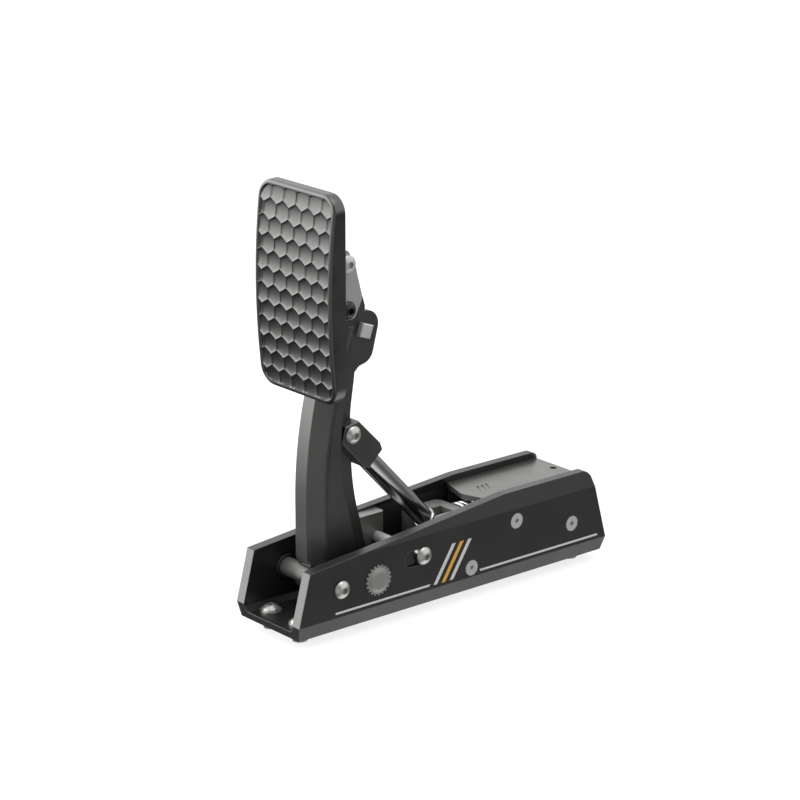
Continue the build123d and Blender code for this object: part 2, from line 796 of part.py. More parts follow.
def arm_shell():
    """The arm's folded channel: bevelled front corners that blend into the sides, open at the rear."""
    body = folded(side_plate(shell_outline(), shell_width), shell_width, shell_front_flat, shell_corner_depth, 0)
    for side in (0, -1):
        wall = body.faces().filter_by(Axis.Y).sort_by(Axis.Y)[side]
        soft = [edge for edge in wall.edges() if follows_front(edge, shell_corner_depth, shell_wall / 2)]
        body = fillet(soft, shell_soft_radius)
    bore_flat = web_thick + side_gap
    bore_width = shell_width - 2 * shell_wall
    bore_depth = shell_corner_depth * (bore_width - bore_flat) / (shell_width - shell_front_flat)
    bore = folded(side_plate(shell_bore_outline(), bore_width), bore_width, bore_flat, bore_depth, shell_wall)
    body -= bore
    body -= bar_along_y(pivot_tube_radius + fit_gap, -shell_width, shell_width, pivot)
    return body - bar_along_y(pin_radius + fit_gap, 0, shell_width, arm_at(pin_depth, pin_height))


def web_outline():
    """The web's side outline: ribbed rear edge, hooked lug, nose, and the heel under the stop bar."""
    setback = shell_wall + fit_gap
    rear = [arm_at(reach * web_reach, rise * web_height) for reach, rise in web_rear_shares]
    lug = [arm_at(reach * web_reach, rise * web_height) for reach, rise in lug_shares]
    nose = [arm_at(reach * web_reach, rise * web_height) for reach, rise in nose_shares]
    front_top = shell_front_point(shell_height, setback)
    nose_top = arm_at(nose_front_depth, web_height)
    lug_edge = FilletPolyline(rear[-1], *lug, nose[0], radius=lug_radii)
    nose_edge = FilletPolyline(nose[0], *nose[1:], nose_top, front_top, radius=[nose_front_round] * len(nose))
    seat = stop_place[1] - stop_bar_radius - side_gap - bumper_thick
    seat_front = stop_place[0] - bumper_length / 2 - heel_seat_lead
    tip = stop_place[0] + bumper_length / 2
    eye_bottom = arm_at(0, -web_eye_radius)
    heel_edge = FilletPolyline(
        rear[0],
        arm_at(heel_knee_depth, heel_knee_height),
        (seat_front, seat),
        (tip, seat),
        (tip, seat - heel_tip_run),
        (seat_front, pivot[1] - heel_bottom_drop),
        eye_bottom,
        radius=[heel_throat_radius, heel_tip_round, heel_tip_round, heel_tip_round, heel_throat_radius])
    front_low = shell_front_point(shell_toe_height, setback)
    outline = shell_front_line(shell_toe_height, shell_height, setback) + Spline(*rear)
    eye_side = (front_low[0], pivot[1])
    return outline + lug_edge + nose_edge + heel_edge + Line(eye_bottom, eye_side) + Line(eye_side, front_low)


def arm_web():
    """The plate inside the shell that carries the pivot tube, the pushrod, the pad bracket and the heel."""
    body = side_plate(web_outline(), web_thick)
    body += bar_along_y(web_eye_radius, -web_thick / 2, web_thick / 2, pivot)
    body -= bar_along_y(pivot_tube_radius + fit_gap, -web_thick, web_thick, pivot)
    body -= bar_along_y(m5_radius + fit_gap, -web_thick, web_thick, clevis_pin)
    for place in bracket_bolt_places:
        body -= bar_along_y(m5_radius + fit_gap, -web_thick, web_thick, place)
    body -= bar_along_y(pin_radius + fit_gap, 0, web_thick, arm_at(pin_depth, pin_height))
    peg_hole = peg_size + 2 * fit_gap
    return body - peg_placing * Box(peg_hole, 2 * web_thick, peg_hole)


def pivot_tube():
    half = inner_half - thrust_ring_thick - running_gap
    body = bar_along_y(pivot_tube_radius, -half, half, pivot)
    return body - bar_along_y(pivot_shaft_radius + fit_gap, -half - cut_overrun, half + cut_overrun, pivot)


def heel_bumper():
    """The rubber block on the heel that meets the stop bar at rest."""
    bottom = stop_place[1] - stop_bar_radius - side_gap - bumper_thick
    body = block(stop_place[0] - bumper_length / 2, stop_place[0] + bumper_length / 2,
                 -bumper_width / 2, bumper_width / 2, bottom, bottom + bumper_thick)
    return chamfer(body.edges().group_by(Axis.Z)[-1], bumper_corner)


def square_peg():
    body = Box(peg_size, web_thick + 2 * peg_proud, peg_size)
    body = chamfer(body.faces().filter_by(Axis.Y).edges(), peg_chamfer)
    return peg_placing * body


def side_pin():
    """The pin with a rounded end out of the arm's far side."""
    tip = shell_width / 2 + pin_proud
    body = bar_along_y(pin_radius, fit_gap, tip, arm_at(pin_depth, pin_height))
    return fillet(body.edges().group_by(Axis.Y)[-1], pin_radius / 2)


def pad_front_x(height):
    """The crowned front face's place at a height over the pad's middle."""
    half = pad_height / 2
    crown_radius = (half ** 2 + pad_crown ** 2) / (2 * pad_crown)
    fall = crown_radius - sqrt(crown_radius ** 2 - height ** 2)
    return pad_back - pad_thick + fall


def pad_prism(inset):
    """The pad's rounded front view, less an inset, as a prism along X."""
    view = RectangleRounded(pad_width - 2 * inset, pad_height - 2 * inset, pad_corner - inset)
    face = Plane.YZ.offset(pad_back - 2 * pad_thick) * Pos(0, pad_middle) * view
    return extrude(face, amount=3 * pad_thick)


def scoop():
    """A lens with its ball side towards +X, its seam turned away from the corners where ridges meet."""
    depth = scoop_depth + scoop_overrun
    lip_radius = sqrt(scoop_sphere_radius ** 2 - (scoop_sphere_radius - depth) ** 2)
    half_depth = depth / 2
    half_radius = sqrt(scoop_sphere_radius ** 2 - (scoop_sphere_radius - half_depth) ** 2)
    outline = ThreePointArc((0, 0), (-half_depth, half_radius), (-depth, lip_radius))
    outline += Line((-depth, lip_radius), (-depth, 0)) + Line((-depth, 0), (0, 0))
    return Rot(scoop_seam_angle, 0, 0) * revolve(Plane.XZ * make_face(outline), Axis.X)


def beyond_rim(y, height):
    """How far a place on the pad's front lies outside the rim's rounded inner line."""
    across = max(abs(y) - (pad_width / 2 - pad_corner), 0)
    up = max(abs(height) - (pad_height / 2 - pad_corner), 0)
    return hypot(across, up) - (pad_corner - pad_rim)


def scoops(group):
    """Every third scoop of the staggered rows, so that no two of a group touch, cut off at the rim."""
    lens = scoop()
    inside = pad_prism(pad_rim)
    row_pitch = scoop_pitch * sqrt(3) / 2
    rows = ceil(pad_height / 2 / row_pitch)
    columns = ceil(pad_width / 2 / scoop_pitch)
    placed = []
    for row in range(-rows, rows):
        height = (row + 1 / 2) * row_pitch
        for column in range(-columns, columns + 1):
            y = (column + row % 2 / 2) * scoop_pitch
            reaches_in = beyond_rim(y, height) < scoop_radius - scoop_least_bite
            if reaches_in and (column - row // 2 - row) % 3 == group:
                one = Pos(pad_front_x(height) + scoop_depth, y, pad_middle + height) * lens
                if beyond_rim(y, height) > -scoop_pitch:
                    one &= inside
                placed.append(one)
    return placed


def pad():
    """The crowned pad: a rim round staggered scoops that meet in six-sided ridges."""
    half = pad_height / 2 + cut_overrun
    low = pad_middle - half
    high = pad_middle + half
    edge_x = pad_front_x(half)
    outline = Line((pad_back, low), (pad_back, high)) + Line((pad_back, high), (edge_x, high))
    outline += ThreePointArc((edge_x, high), (pad_front_x(0), pad_middle), (edge_x, low))
    outline += Line((edge_x, low), (pad_back, low))
    body = side_plate(outline, pad_width + 2 * cut_overrun) & pad_prism(0)
    front = body.faces().sort_by(Axis.X)[0]
    body = fillet(front.edges(), pad_front_round)
    back = body.faces().sort_by(Axis.X)[-1]
    body = fillet(back.edges(), pad_back_round)
    for group in range(3):
        body -= scoops(group)
    for y, z in pad_screw_places:
        body -= bar_to_pad(m4_radius + fit_gap, pad_screw_depth + thread_relief, y, z)
    return body


def bar_to_pad(radius, depth, y, z):
    """A round bar from the pad's back face into the pad."""
    return Pos(pad_back - depth / 2, y, z) * Rot(0, 90, 0) * Cylinder(radius, depth)


def pad_bracket():
    """The light U bracket: a flange on the pad's back and two cheeks beside the web's nose."""
    low = pivot[1] + bracket_bottom_height
    view = RectangleRounded(bracket_width, bracket_height, flange_corner)
    face = Plane.YZ.offset(pad_back) * Pos(0, low + bracket_height / 2) * view
    body = extrude(face, amount=bracket_thick)
    root = pad_back_depth + bracket_thick / 2
    points = [arm_at(root, bracket_bottom_height)]
    points += [arm_at(reach * cheek_reach, bracket_bottom_height + rise * bracket_height) for reach, rise in cheek_shares]
    points.append(arm_at(root, bracket_bottom_height + bracket_height))
    outline = FilletPolyline(*points, radius=[0] + [cheek_corner] * len(cheek_shares) + [0], close=True)
    offset = web_thick / 2 + fit_gap + bracket_thick / 2
    for side in (-1, 1):
        body += side_plate(outline, bracket_thick, side * offset)
    for place in bracket_bolt_places:
        body -= bar_along_y(m5_radius + fit_gap, -bracket_width, bracket_width, place)
    for y, z in pad_screw_places:
        body -= Pos(pad_back + bracket_thick / 2, y, z) * Rot(0, 90, 0) * Cylinder(
            m4_radius + fit_gap, 2 * bracket_thick)
    return body


def bracket_bolt(place):
    """A bolt from the near cheek, through the web's nose, into the far cheek."""
    seat = web_thick / 2 + fit_gap + bracket_thick
    return Pos(place[0], -seat, place[1]) * facing(-1) * m5_button(2 * seat)


def pad_screw(place):
    head_seat = pad_back + bracket_thick
    screw = domed_bolt(m4_button_radius, m4_button_height, m4_radius, bracket_thick + pad_screw_depth,
                       m4_key_flats, m4_key_depth)
    return Pos(head_seat, place[0], place[1]) * Rot(0, 90, 0) * screw


def clevis():
    """The forked block at the rod's upper end, across the web."""
    outline = Polyline(
        (-clevis_nose, 0),
        (-clevis_shoulder_run, clevis_shoulder),
        (clevis_flank_run, clevis_flank),
        (clevis_length, clevis_end_half),
        (clevis_length, -clevis_end_half),
        (clevis_flank_run, -clevis_flank),
        (-clevis_shoulder_run, -clevis_shoulder),
        close=True)
    body = side_plate(outline, clevis_width)
    body = chamfer(body.faces().filter_by(Axis.Y).edges(), clevis_edge_break)
    body -= block(-2 * clevis_nose, clevis_slot_depth, -clevis_slot / 2, clevis_slot / 2, -clevis_length, clevis_length)
    body -= bar_along_y(m5_radius + fit_gap, -clevis_width, clevis_width, (0, 0))
    body -= bar_along_x(rod_spigot_radius + fit_gap, clevis_length - rod_spigot_length - fit_gap,
                        clevis_length + cut_overrun, 0)
    return rod_placing * body


def clevis_bolt():
    seat = clevis_width / 2
    return rod_placing * Pos(0, -seat, 0) * facing(-1) * m5_button(clevis_width + m5_nut_height)


def clevis_nut():
    return rod_placing * Pos(0, clevis_width / 2, 0) * facing(1) * hex_nut(
        m5_nut_flats, m5_radius + fit_gap, m5_nut_height)


def rod_tube():
    """The polished rod with a threaded spigot at each end's seat."""
    lower = rod_length - collar_setback - collar_thick
    body = bar_along_x(rod_radius, clevis_length, lower, 0)
    body += bar_along_x(rod_spigot_radius, clevis_length - rod_spigot_length, clevis_length, 0)
    body -= bar_along_x(rod_spigot_radius + fit_gap, lower - rod_spigot_length - fit_gap, lower + cut_overrun, 0)
    return rod_placing * body


def rod_end():
    """The lower eye with its neck, collar and spigot; its bore clears the fork's pin all round."""
    lower = rod_length - collar_setback
    body = bar_along_y(eye_radius, -eye_thick / 2, eye_thick / 2, (rod_length, 0))
    body = chamfer(body.edges(), clevis_edge_break)
    body += bar_along_x(eye_neck_radius, lower, rod_length, 0)
    collar = bar_along_x(collar_radius, lower - collar_thick, lower, 0)
    body += chamfer(collar.edges(), clevis_edge_break)
    body += bar_along_x(rod_spigot_radius, lower - collar_thick - rod_spigot_length, lower - collar_thick, 0)
    body -= bar_along_y(fork_pin_radius + eye_pin_gap, -eye_thick, eye_thick, (rod_length, 0))
    return rod_placing * body


def fork():
    """The slider: a block with a flared slot for the rod's eye, and the shaft through the spring."""
    front = front_end + fork_front
    rear = front + fork_length
    half = fork_width / 2
    slot_half = fork_slot_width / 2
    slot_end = rear - fork_web_thick
    view = Polyline(
        (front, -half), (rear - fork_corner, -half), (rear, -half + fork_corner),
        (rear, half - fork_corner), (rear - fork_corner, half), (front, half),
        (front, slot_half + fork_mouth_flare), (front + fork_mouth_run, slot_half), (slot_end, slot_half),
        (slot_end, -slot_half), (front + fork_mouth_run, -slot_half), (front, -slot_half - fork_mouth_flare),
        close=True)
    body = Pos(0, 0, underside + fork_bottom_height) * extrude(
        make_face(view), amount=fork_top_height - fork_bottom_height)
    centre = underside + slide_height
    body -= bar_along_y(fork_pin_radius + fit_gap, -fork_width, fork_width, fork_pin)
    shaft = bar_along_x(shaft_radius, rear - fork_corner, front_end + shaft_end_x, centre)
    shaft = chamfer(shaft.edges().group_by(Axis.X)[-1], shaft_chamfer)
    return body + shaft


def fork_pin_piece():
    return bar_along_y(fork_pin_radius, -fork_width / 2, fork_width / 2, fork_pin)


def spring_seat():
    """The flat washer between the fork and the spring."""
    rear = spring_front
    front = rear - seat_thick
    body = bar_along_x(seat_radius, front, rear, underside + slide_height)
    return body - bar_along_x(shaft_radius + running_gap, front - cut_overrun, rear + cut_overrun,
                              underside + slide_height)


pad_back = arm_at(pad_back_depth, 0)[0]
pad_middle = pivot[1] + pad_bottom_height + pad_height / 2
bracket_bolt_places = [
    arm_at(bracket_bolt_depth, bracket_bottom_height + bracket_bolt_low + count * bracket_bolt_spacing)
    for count in (0, 1)]
pad_screw_places = [
    (side * pad_screw_side, pivot[1] + bracket_bottom_height + rise)
    for side in (-1, 1)
    for rise in (pad_screw_rise, bracket_height - pad_screw_rise)]
peg_place = arm_at(peg_depth, peg_height)
peg_placing = Pos(peg_place[0], 0, peg_place[1]) * Rot(0, peg_angle, 0)
rod_placing = Pos(clevis_pin[0], 0, clevis_pin[1]) * Rot(0, rod_slope, 0)

nodes = {
    "base_channel": base_channel(),
    "top_plate": top_plate(),
    "rear_block": rear_block(),
    "cable_socket": cable_socket(),
    "load_cell": load_cell(),
    "guide_block": guide_block(),
    "stop_carrier": stop_carrier(),
    "stop_bar": stop_bar(),
    "slot_plug": slot_plug(),
    "toothed_dial": toothed_dial(),
    "pivot_shaft": pivot_shaft(),
    "thrust_ring_near": thrust_ring(-1),
    "thrust_ring_far": thrust_ring(1),
    "pivot_bolt_near": on_wall(m5_button(pivot_bolt_length), -1, pivot),
    "pivot_bolt_far": on_wall(m5_button(pivot_bolt_length), 1, pivot),
    "stop_bolt_near": on_wall(m5_button(stop_bolt_length), -1, stop_place),
    "carrier_screw_front": on_wall(sunk_screw(side_screw_length), 1, carrier_screw_place),
    "carrier_screw_rear": on_wall(sunk_screw(wall_thick + carrier_thick - stop_bar_socket), 1, stop_place),
    "coil_spring": coil_spring(),
    "arm_shell": arm_shell(),
    "arm_web": arm_web(),
    "pivot_tube": pivot_tube(),
    "heel_bumper": heel_bumper(),
    "square_peg": square_peg(),
    "side_pin": side_pin(),
    "pad": pad(),
    "pad_bracket": pad_bracket(),
    "bracket_bolt_low": bracket_bolt(bracket_bolt_places[0]),
    "bracket_bolt_high": bracket_bolt(bracket_bolt_places[1]),
    "clevis": clevis(),
    "clevis_bolt": clevis_bolt(),
    "clevis_nut": clevis_nut(),
    "rod_tube": rod_tube(),
    "rod_end": rod_end(),
    "fork": fork(),
    "fork_pin": fork_pin_piece(),
    "spring_seat": spring_seat(),
}
for name, place in side_screw_places.items():
    bite = plate_tab_thick if name == "plate" else side_screw_bite
    for word, side in (("near", -1), ("far", 1)):
        nodes["side_screw_" + name + "_" + word] = on_wall(sunk_screw(wall_thick + bite), side, place)
for name, place in floor_bolt_places.items():
    nodes["floor_bolt_" + name] = floor_bolt(place)
    nodes["floor_washer_" + name] = floor_washer(place)
    nodes["floor_nut_" + name] = floor_nut(place)
for count, place in enumerate(pad_screw_places):
    nodes["pad_screw_" + str(count + 1)] = pad_screw(place)

os.makedirs("parts", exist_ok=True)
for name, shape in nodes.items():
    export_step(shape, "parts/" + name + ".step")
print(len(nodes), "nodes")
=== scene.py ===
import json
import math
import bpy
import numpy as np
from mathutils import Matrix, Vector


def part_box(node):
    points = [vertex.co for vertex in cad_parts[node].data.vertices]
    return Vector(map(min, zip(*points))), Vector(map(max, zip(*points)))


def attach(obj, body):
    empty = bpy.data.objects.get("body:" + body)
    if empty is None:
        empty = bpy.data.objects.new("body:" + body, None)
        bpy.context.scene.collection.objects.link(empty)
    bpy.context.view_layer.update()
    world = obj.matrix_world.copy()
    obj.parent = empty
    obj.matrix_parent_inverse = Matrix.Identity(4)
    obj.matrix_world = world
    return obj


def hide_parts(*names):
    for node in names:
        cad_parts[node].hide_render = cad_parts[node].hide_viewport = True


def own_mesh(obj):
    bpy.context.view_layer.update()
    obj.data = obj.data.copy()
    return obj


# Sim racing pedal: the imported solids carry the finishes, and a few pieces are remade finer as surfaces.
# Metres, +Z up, +X away from the driver. The near side, with the dial, faces -Y.

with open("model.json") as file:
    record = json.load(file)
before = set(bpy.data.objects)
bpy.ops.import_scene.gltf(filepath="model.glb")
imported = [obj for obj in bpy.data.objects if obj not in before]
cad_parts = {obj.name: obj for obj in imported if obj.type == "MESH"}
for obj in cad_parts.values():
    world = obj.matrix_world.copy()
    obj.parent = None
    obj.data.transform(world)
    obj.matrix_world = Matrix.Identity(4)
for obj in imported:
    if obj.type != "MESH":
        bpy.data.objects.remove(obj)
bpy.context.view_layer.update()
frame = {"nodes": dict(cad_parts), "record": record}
mm = 0.001  # every length below is in mm unless its comment says otherwise
nodes = frame["nodes"]
print("frame loaded:", len(nodes), "nodes")

cameraSetup = {
    "place": (-977.9, -1140.5, 583.2),
    "elevation": 17.53,  # degrees down, and degrees round from +Y
    "azimuth": -40.06,
    "lens": 132.5,
    "sensor": 36.0,
    "clip": (50.0, 50000.0),
}


def makeCamera(setup):
    data = bpy.data.cameras.new("camera")
    data.lens = setup["lens"]
    data.sensor_width = setup["sensor"]
    data.clip_start, data.clip_end = (value * mm for value in setup["clip"])
    camera = bpy.data.objects.new("camera", data)
    camera.location = [value * mm for value in setup["place"]]
    camera.rotation_euler = (math.radians(90 - setup["elevation"]), 0, math.radians(setup["azimuth"]))
    bpy.context.scene.collection.objects.link(camera)
    bpy.context.scene.camera = camera


makeCamera(cameraSetup)

studio = {
    # light level at each height of the direction, from straight down (-1) to straight up (1)
    "room": [(-1.0, 0.10), (-0.15, 0.12), (0.05, 0.3), (0.2, 1.3), (0.5, 1.3), (1.0, 1.2)],
    "glows": [  # axis, strength, share at each closeness to the axis, share at each height of the direction
        # far-left softbox with a soft lower edge
        ((-0.56, 0.82, 0.10), 3.1, [(0.35, 0.0), (0.65, 0.45), (0.90, 1.0)],
         [(-0.60, 0.01), (-0.45, 0.03), (-0.30, 0.14), (-0.12, 0.68), (0.0, 0.95), (0.45, 1.0), (0.65, 0.2)]),
        # white table, seen from below
        ((0.40, -0.25, -0.88), 1.6, [(0.60, 0.0), (0.75, 0.09), (0.94, 0.94), (1.0, 1.0)], [(0.0, 1.0)]),
        # fill beside the camera
        ((-0.62, -0.72, -0.25), 0.55, [(0.80, 0.0), (0.94, 0.85), (1.0, 1.0)], [(0.0, 1.0)]),
        # black card over the camera
        ((-0.60, -0.70, 0.39), -1.1, [(0.80, 0.0), (0.93, 1.0)], [(0.0, 0.0), (0.2, 1.0)]),
    ],
    "backdrop": 1.0,
    "panels": [  # name, place in m, aim in m, width and height in m, watts
        ("panelTop", (0.25, -0.35, 2.0), (0, 0, 0.10), 1.2, 1.2, 9.0),
    ],
}


def makePanel(name, place, aim, width, height, watts):
    data = bpy.data.lights.new(name, "AREA")
    data.shape = "RECTANGLE"
    data.size, data.size_y = width, height
    data.energy = watts
    lamp = bpy.data.objects.new(name, data)
    direction = np.subtract(aim, place)
    flat = math.hypot(direction[0], direction[1])
    tilt = math.atan2(flat, -direction[2])
    turn = math.atan2(direction[1], direction[0]) - math.pi / 2
    lamp.location = place
    lamp.rotation_euler = (tilt, 0, turn)
    bpy.context.scene.collection.objects.link(lamp)


def addNode(tree, kind, inputs=None, **settings):
    # one node with its settings; an input is a plain value or another node's socket
    node = tree.nodes.new(kind)
    for key, value in settings.items():
        setattr(node, key, value)
    for key, value in (inputs or {}).items():
        if isinstance(value, bpy.types.NodeSocket):
            tree.links.new(value, node.inputs[key])
        else:
            node.inputs[key].default_value = value
    return node


def ramp(tree, factor, stops):
    # a grey level that runs straight between (place, value) pairs
    node = addNode(tree, "ShaderNodeValToRGB", {"Fac": factor})
    elements = node.color_ramp.elements
    while len(elements) < len(stops):
        elements.new(0.5)
    while len(elements) > len(stops):
        elements.remove(elements[-1])
    for element, (place, value) in zip(elements, stops):
        element.position = place
        element.color = (value, value, value, 1)
    return node.outputs["Color"]


def makeWorld(setup):
    # white behind the object; what its surfaces mirror has a level for each height, and glows round a few axes
    world = bpy.data.worlds.new("studio")
    world.use_nodes = True
    tree = world.node_tree
    tree.nodes.clear()
    where = addNode(tree, "ShaderNodeTexCoord").outputs["Generated"]
    split = addNode(tree, "ShaderNodeSeparateXYZ", {"Vector": where})
    height = addNode(tree, "ShaderNodeMapRange", {"Value": split.outputs["Z"], "From Min": -1.0, "From Max": 1.0})
    lit = ramp(tree, height.outputs["Result"], [((z + 1) / 2, value) for z, value in setup["room"]])
    for axis, strength, closeness, rise in setup["glows"]:
        near = addNode(tree, "ShaderNodeVectorMath", {0: where, 1: axis}, operation="DOT_PRODUCT")
        glow = ramp(tree, near.outputs["Value"], closeness)
        level = ramp(tree, height.outputs["Result"], [((z + 1) / 2, share) for z, share in rise])
        part = addNode(tree, "ShaderNodeMath", {0: glow, 1: level}, operation="MULTIPLY")
        total = addNode(tree, "ShaderNodeMath", {
            0: part.outputs[0], 1: strength, 2: lit}, operation="MULTIPLY_ADD")
        lit = total.outputs[0]
    around = addNode(tree, "ShaderNodeBackground", {"Color": lit, "Strength": 1.0})
    backdrop = addNode(tree, "ShaderNodeBackground", {"Color": (1, 1, 1, 1), "Strength": setup["backdrop"]})
    seen = addNode(tree, "ShaderNodeLightPath")
    both = addNode(tree, "ShaderNodeMixShader", {
        0: seen.outputs["Is Camera Ray"], 1: around.outputs[0], 2: backdrop.outputs[0]})
    addNode(tree, "ShaderNodeOutputWorld", {"Surface": both.outputs[0]})
    bpy.context.scene.world = world


makeWorld(studio)
for panel in studio["panels"]:
    makePanel(*panel)
bpy.context.scene.view_settings.view_transform = "Standard"
bpy.context.scene.view_settings.look = "None"
print("camera and light made")


def linear(hexText):
    # sRGB hex to linear light
    parts = [int(hexText[i:i + 2], 16) / 255 for i in (1, 3, 5)]
    return tuple(p / 12.92 if p <= 0.04045 else ((p + 0.055) / 1.055) ** 2.4 for p in parts) + (1.0,)


def newMaterial(name):
    material = bpy.data.materials.new(name)
    material.use_nodes = True
    tree = material.node_tree
    tree.nodes.clear()
    return material, tree


coating = {
    "relief": 0.35,  # bump height as a share of the grain's size
    "wobble": 0.10,  # how far the cloud shifts the paled edge
    "fullEdgeMeet": 0.88,  # dot product of the two normals where the edge is fully paled
    "cloudLow": 0.3,
    "cloudHigh": 0.7,
    # the facing that picks the raked wall ends for their painted highlight
    "highlightFacing": -0.9,
    "highlightRake": 0.1,
}


def coatedFinish(name, look):
    # coat or metal: grain in the bump, cloudy roughness, and edges paled towards the edge colour, partly wear and
    # partly a painted edge highlight; an edge is where the rounded normal leaves the face's own one, so their dot
    # product falls below 1
    material, tree = newMaterial(name)
    where = addNode(tree, "ShaderNodeTexCoord").outputs["Object"]
    if look.get("brush"):
        brushed = addNode(tree, "ShaderNodeMapping", {"Vector": where, "Scale": look["brush"]})
        grainPlace = brushed.outputs["Vector"]
    else:
        grainPlace = where
    grain = addNode(tree, "ShaderNodeTexNoise", {
        "Vector": grainPlace, "Scale": 1 / (look["grain"] * mm), "Detail": 3.0, "Roughness": 0.55})
    cloud = addNode(tree, "ShaderNodeTexNoise", {
        "Vector": where, "Scale": 1 / (look["cloud"] * mm), "Detail": 2.0, "Roughness": 0.5})
    rounded = addNode(tree, "ShaderNodeBevel", {"Radius": look["edge"] * mm}, samples=4)
    bump = addNode(tree, "ShaderNodeBump", {
        "Height": grain.outputs["Fac"], "Normal": rounded.outputs["Normal"],
        "Strength": look["bite"], "Distance": look["grain"] * mm * coating["relief"]})
    facing = addNode(tree, "ShaderNodeNewGeometry")
    meet = addNode(tree, "ShaderNodeVectorMath", {
        0: rounded.outputs["Normal"], 1: facing.outputs["Normal"]}, operation="DOT_PRODUCT")
    wobble = addNode(tree, "ShaderNodeMath", {
        0: cloud.outputs["Fac"], 1: coating["wobble"]}, operation="MULTIPLY")
    edgeMeet = addNode(tree, "ShaderNodeMath", {0: meet.outputs["Value"], 1: wobble.outputs[0]})
    # how far each edge is paled: wear, and a painted highlight along the edge
    wornAndLitEdge = ramp(tree, edgeMeet.outputs[0], [(coating["fullEdgeMeet"], look["wornAndLitShare"]), (1.0, 0.0)])
    colour = addNode(tree, "ShaderNodeMix", {
        "Factor": wornAndLitEdge, 6: linear(look["colour"]), 7: linear(look["wornAndLitEdge"])}, data_type="RGBA")
    paint = colour.outputs[2]
    if look.get("paintedEndHighlight"):
        # painted highlight: the faces that lean back towards the driver, the raked wall ends, are picked by their
        # facing and drawn pale
        split = addNode(tree, "ShaderNodeSeparateXYZ", {"Vector": facing.outputs["True Normal"]})
        front = addNode(tree, "ShaderNodeMath", {
            0: split.outputs["X"], 1: coating["highlightFacing"]}, operation="LESS_THAN")
        raked = addNode(tree, "ShaderNodeMath", {
            0: split.outputs["Z"], 1: coating["highlightRake"]}, operation="GREATER_THAN")
        endHighlight = addNode(tree, "ShaderNodeMath", {0: front.outputs[0], 1: raked.outputs[0]}, operation="MULTIPLY")
        paint = addNode(tree, "ShaderNodeMix", {
            "Factor": endHighlight.outputs[0], 6: paint, 7: linear(look["paintedEndHighlight"])}, data_type="RGBA").outputs[2]
    low, high = look["gloss"]
    gloss = addNode(tree, "ShaderNodeMapRange", {
        "Value": cloud.outputs["Fac"], "From Min": coating["cloudLow"], "From Max": coating["cloudHigh"],
        "To Min": low, "To Max": high})
    shader = addNode(tree, "ShaderNodeBsdfPrincipled", {
        "Base Color": paint, "Roughness": gloss.outputs["Result"],
        "Metallic": look["metal"], "Normal": bump.outputs["Normal"]})
    if look.get("ior"):
        shader.inputs["IOR"].default_value = look["ior"]
    addNode(tree, "ShaderNodeOutputMaterial", {"Surface": shader.outputs[0]})
    return material


